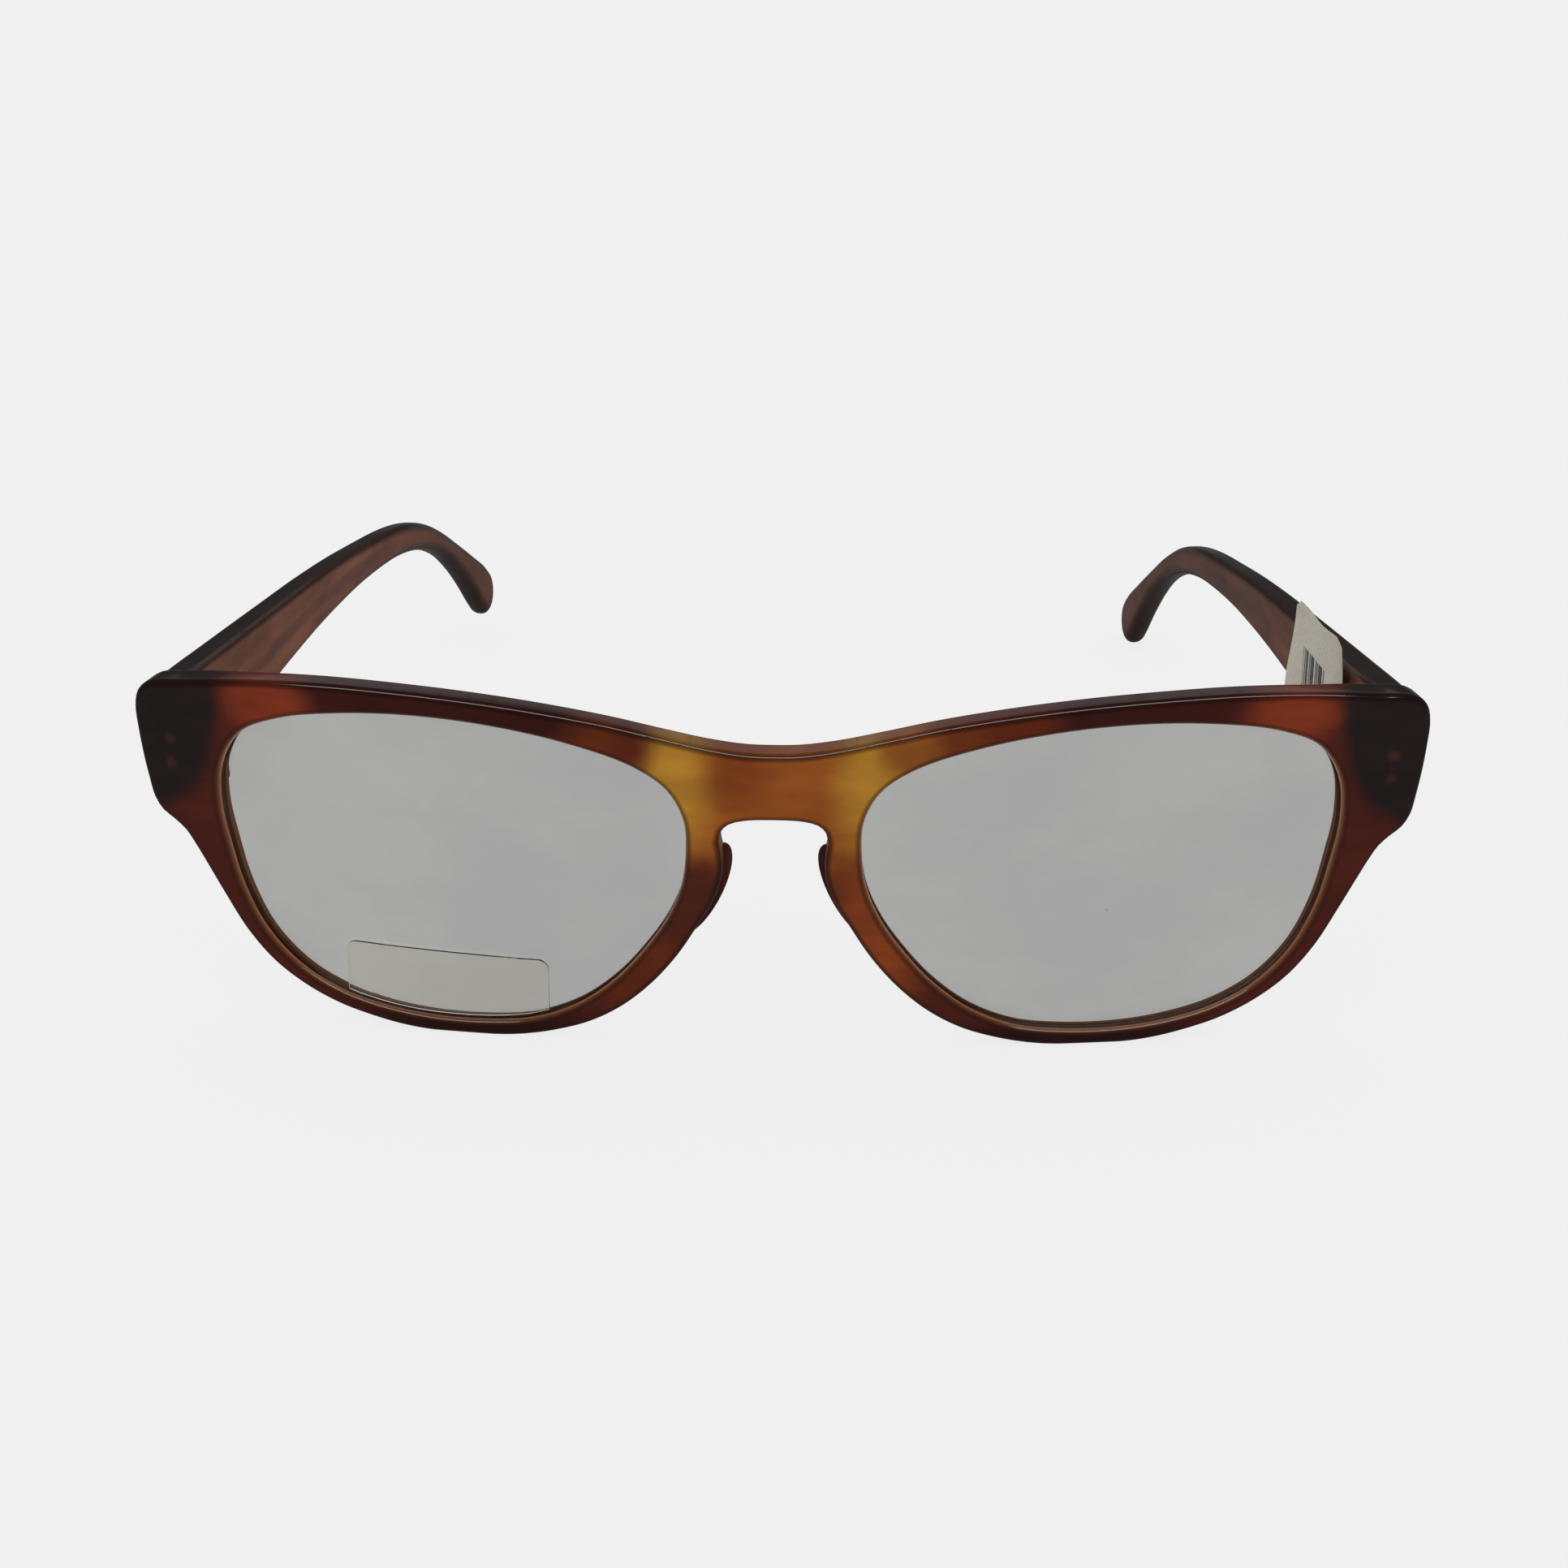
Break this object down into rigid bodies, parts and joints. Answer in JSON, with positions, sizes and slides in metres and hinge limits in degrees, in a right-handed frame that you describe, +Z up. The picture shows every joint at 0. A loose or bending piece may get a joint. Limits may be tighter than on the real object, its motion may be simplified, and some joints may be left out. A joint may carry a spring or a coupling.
{
  "type": "eyeglasses",
  "caption": "Full-rim tortoiseshell acetate eyeglasses with a keyhole bridge, pale grey lenses, folding temples on barrel hinges, a paper label and a film strip.",
  "frame": {"origin": "centre of the bounding box on the surface the rims stand on, temples open", "axes": "+X to the wearer's left across the front, +Y back along the temples away from the front, +Z up"},
  "size_m": [0.1402, 0.1374, 0.0407],
  "materials": {
    "acetate_front": "polished tortoiseshell acetate, amber at the bridge and near black at the ends",
    "acetate_temple": "polished brown tortoiseshell acetate",
    "acetate_pad": "polished amber brown acetate",
    "lens_plastic": "clear plastic with a light grey cast",
    "film_plastic": "thin clear film",
    "hinge_metal": "plain nickel silver",
    "screw_metal": "turned screw",
    "core_wire": "drawn wire",
    "label_paper": "matt paper"
  },
  "bodies": {
    "front": {"front_frame": "acetate_front", "lens_left": "lens_plastic", "nose_pad_left": "acetate_pad", "hinge_front_leaf_left": "hinge_metal", "hinge_screw_left": "screw_metal", "anchor_pin_lower_left": "hinge_metal", "anchor_pin_upper_left": "hinge_metal", "lens_right": "lens_plastic", "nose_pad_right": "acetate_pad", "hinge_front_leaf_right": "hinge_metal", "hinge_screw_right": "screw_metal", "anchor_pin_lower_right": "hinge_metal", "anchor_pin_upper_right": "hinge_metal", "lens_film": "film_plastic"},
    "temple_left": {"temple_left": "acetate_temple", "core_wire_left": "core_wire", "hinge_temple_leaf_left": "hinge_metal", "paper_label": "label_paper"},
    "temple_right": {"temple_right": "acetate_temple", "core_wire_right": "core_wire", "hinge_temple_leaf_right": "hinge_metal"}
  },
  "joints": [
    {"name": "fold_left", "type": "hinge", "parent": "front", "child": "temple_left", "pos_m": [0.06261, -0.05584, 0.0314], "axis": [0, 0, 1], "range_deg": [-1.35, 74]},
    {"name": "fold_right", "type": "hinge", "parent": "front", "child": "temple_right", "pos_m": [-0.06261, -0.05584, 0.0314], "axis": [0, 0, -1], "range_deg": [0, 83]}
  ]
}
